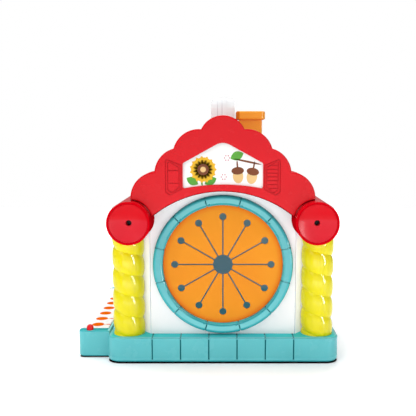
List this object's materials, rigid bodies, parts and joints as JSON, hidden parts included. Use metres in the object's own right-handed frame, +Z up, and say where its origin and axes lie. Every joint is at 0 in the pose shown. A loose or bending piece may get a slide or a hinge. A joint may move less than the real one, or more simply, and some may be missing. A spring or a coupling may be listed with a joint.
{
  "type": "shape sorter house",
  "caption": "Toddler activity house with a slit disc door, sorting holes, twisted corner columns, a lobed red roof, a carry handle and a side keyboard.",
  "frame": {"origin": "under the middle of the house, on the surface it stands on", "axes": "+X to the house's right as seen from the front, front faces -Y, +Z up"},
  "size_m": [0.3355, 0.344, 0.3381],
  "materials": {
    "teal_plastic": "glossy moulded teal",
    "teal_cover": "satin moulded teal",
    "white_wall": "satin moulded white",
    "white_plastic": "glossy moulded white",
    "yellow_plastic": "glossy moulded yellow",
    "orange_rubber": "soft satin orange",
    "orange_plastic": "glossy moulded orange",
    "red_plastic": "glossy moulded red",
    "roof_red": "glossy moulded deep red",
    "printed_panel": "printed panel",
    "button_red": "glossy moulded red",
    "dark_rubber": "matte moulded",
    "board_green": "lacquered",
    "black_plastic": "matte moulded",
    "cell_jacket": "printed jacket",
    "steel": "zinc plated"
  },
  "bodies": {
    "house": {"base_shell": "teal_plastic", "brick_ring": "teal_plastic", "piano_tray": "teal_plastic", "base_cover": "teal_cover", "battery_hatch": "teal_cover", "front_wall": "white_wall", "rear_wall": "white_wall", "left_wall": "white_wall", "right_wall": "white_wall", "carry_handle": "white_plastic", "column_front_left": "yellow_plastic", "column_front_right": "yellow_plastic", "column_rear_left": "yellow_plastic", "column_rear_right": "yellow_plastic", "slit_membrane": "orange_rubber", "chimney_stack": "orange_plastic", "chimney_cap": "orange_plastic", "front_gable": "red_plastic", "rear_gable": "red_plastic", "eave_roll_left": "red_plastic", "eave_roll_right": "red_plastic", "roll_cap_front_left": "red_plastic", "roll_cap_front_right": "red_plastic", "roll_cap_rear_left": "red_plastic", "roll_cap_rear_right": "red_plastic", "roof_shell": "roof_red", "front_window": "printed_panel", "rear_window": "printed_panel", "contact_strip": "dark_rubber", "circuit_board": "board_green", "button_switch": "black_plastic", "speaker": "black_plastic", "battery_cells": "cell_jacket", "key_rod": "steel", "base_screws": "steel", "column_screws": "steel", "ring_screws": "steel", "roll_screws": "steel", "handle_screws": "steel", "tray_screws": "steel", "hatch_screw": "steel", "corner_post_front_left": "white_wall", "corner_post_front_right": "white_wall", "corner_post_rear_left": "white_wall", "corner_post_rear_right": "white_wall"},
    "key_1": {"key_1": "white_plastic"},
    "key_2": {"key_2": "white_plastic"},
    "key_3": {"key_3": "white_plastic"},
    "key_4": {"key_4": "white_plastic"},
    "key_5": {"key_5": "white_plastic"},
    "key_6": {"key_6": "white_plastic"},
    "key_7": {"key_7": "white_plastic"},
    "key_8": {"key_8": "white_plastic"},
    "mode_button": {"mode_button": "button_red"}
  },
  "joints": [
    {"name": "key_1_tip", "type": "hinge", "parent": "house", "child": "key_1", "pos_m": [-0.1549, -0.0945, 0.0294], "axis": [0, -1, 0], "range_deg": [0, 4.5], "stiffness_Nm_per_rad": 0.4},
    {"name": "key_2_tip", "type": "hinge", "parent": "house", "child": "key_2", "pos_m": [-0.1549, -0.0675, 0.0294], "axis": [0, -1, 0], "range_deg": [0, 4.5], "stiffness_Nm_per_rad": 0.4},
    {"name": "key_3_tip", "type": "hinge", "parent": "house", "child": "key_3", "pos_m": [-0.1549, -0.0405, 0.0294], "axis": [0, -1, 0], "range_deg": [0, 4.5], "stiffness_Nm_per_rad": 0.4},
    {"name": "key_4_tip", "type": "hinge", "parent": "house", "child": "key_4", "pos_m": [-0.1549, -0.0135, 0.0294], "axis": [0, -1, 0], "range_deg": [0, 4.5], "stiffness_Nm_per_rad": 0.4},
    {"name": "key_5_tip", "type": "hinge", "parent": "house", "child": "key_5", "pos_m": [-0.1549, 0.0135, 0.0294], "axis": [0, -1, 0], "range_deg": [0, 4.5], "stiffness_Nm_per_rad": 0.4},
    {"name": "key_6_tip", "type": "hinge", "parent": "house", "child": "key_6", "pos_m": [-0.1549, 0.0405, 0.0294], "axis": [0, -1, 0], "range_deg": [0, 4.5], "stiffness_Nm_per_rad": 0.4},
    {"name": "key_7_tip", "type": "hinge", "parent": "house", "child": "key_7", "pos_m": [-0.1549, 0.0675, 0.0294], "axis": [0, -1, 0], "range_deg": [0, 4.5], "stiffness_Nm_per_rad": 0.4},
    {"name": "key_8_tip", "type": "hinge", "parent": "house", "child": "key_8", "pos_m": [-0.1549, 0.0945, 0.0294], "axis": [0, -1, 0], "range_deg": [0, 4.5], "stiffness_Nm_per_rad": 0.4},
    {"name": "mode_button_press", "type": "slide", "parent": "house", "child": "mode_button", "axis": [0, 0, -1], "range_m": [0, 0.0014], "stiffness_N_per_m": 300}
  ]
}
